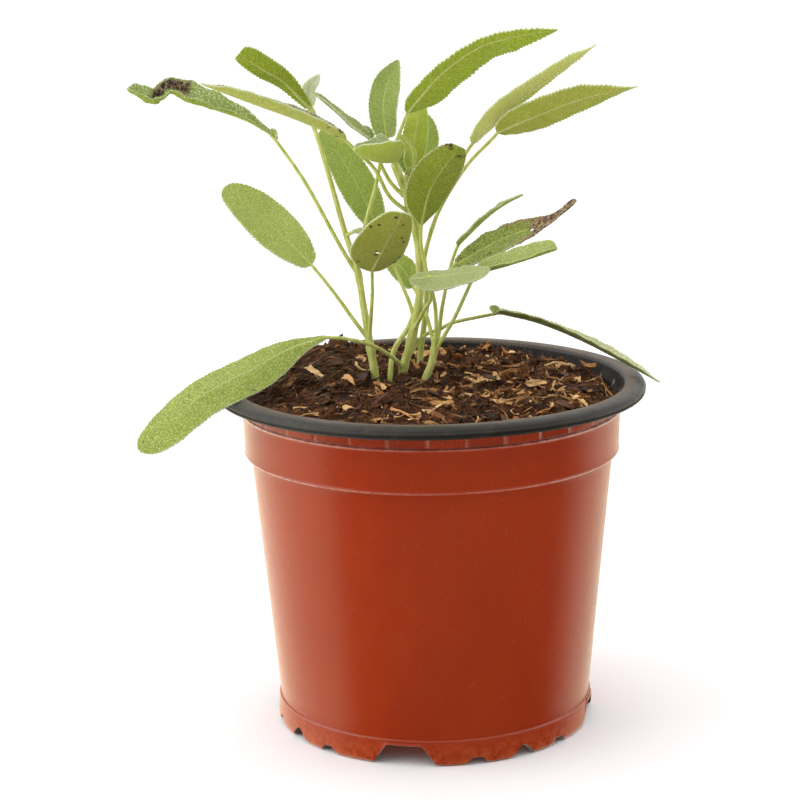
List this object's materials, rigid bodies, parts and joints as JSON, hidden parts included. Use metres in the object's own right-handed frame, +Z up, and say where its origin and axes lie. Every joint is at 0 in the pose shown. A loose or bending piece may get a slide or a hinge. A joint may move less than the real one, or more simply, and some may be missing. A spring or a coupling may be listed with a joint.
{
  "type": "potted sage",
  "caption": "Young leafy sage plant in a round tapered nursery pot with a rolled rim, a ribbed strip under it and cut feet.",
  "frame": {"origin": "on the surface the pot stands on, under the centre of the whole plant's box; the pot's axis is 9.8 mm from it in X and -0.0 mm in Y", "axes": "+Z up along the pot's axis, -Y towards the side the plant is seen from, +X to the right of that view"},
  "size_m": [0.1666, 0.14, 0.228],
  "materials": {
    "leaf": "soft, pebbled and finely hairy",
    "stem": "satin, finely hairy",
    "soil": "rough, crumbly and fibrous",
    "pot": "satin"
  },
  "bodies": {
    "root": {"leaf_back_dark": "leaf", "leaf_back_left_broad": "leaf", "leaf_back_low": "leaf", "leaf_back_pale": "leaf", "leaf_centre_broad": "leaf", "leaf_crown_cupped": "leaf", "leaf_crown_dark": "leaf", "leaf_crown_inner": "leaf", "leaf_front_pale": "leaf", "leaf_left_curled_tip": "leaf", "leaf_left_folded": "leaf", "leaf_left_low_large": "leaf", "leaf_left_middle": "leaf", "leaf_left_slim": "leaf", "leaf_right_drooping": "leaf", "leaf_right_edge_on": "leaf", "leaf_right_narrow": "leaf", "leaf_right_over_rim": "leaf", "leaf_right_pointed": "leaf", "leaf_right_withered": "leaf", "leaf_round_front": "leaf", "leaf_tall_grey": "leaf", "leaf_top_left": "leaf", "leaf_top_left_young": "leaf", "leaf_top_right_broad": "leaf", "pot": "pot", "side_shoot": "stem", "soil": "soil", "stem_back": "stem", "stem_centre": "stem", "stem_left": "stem", "stem_right": "stem"}
  },
  "joints": []
}
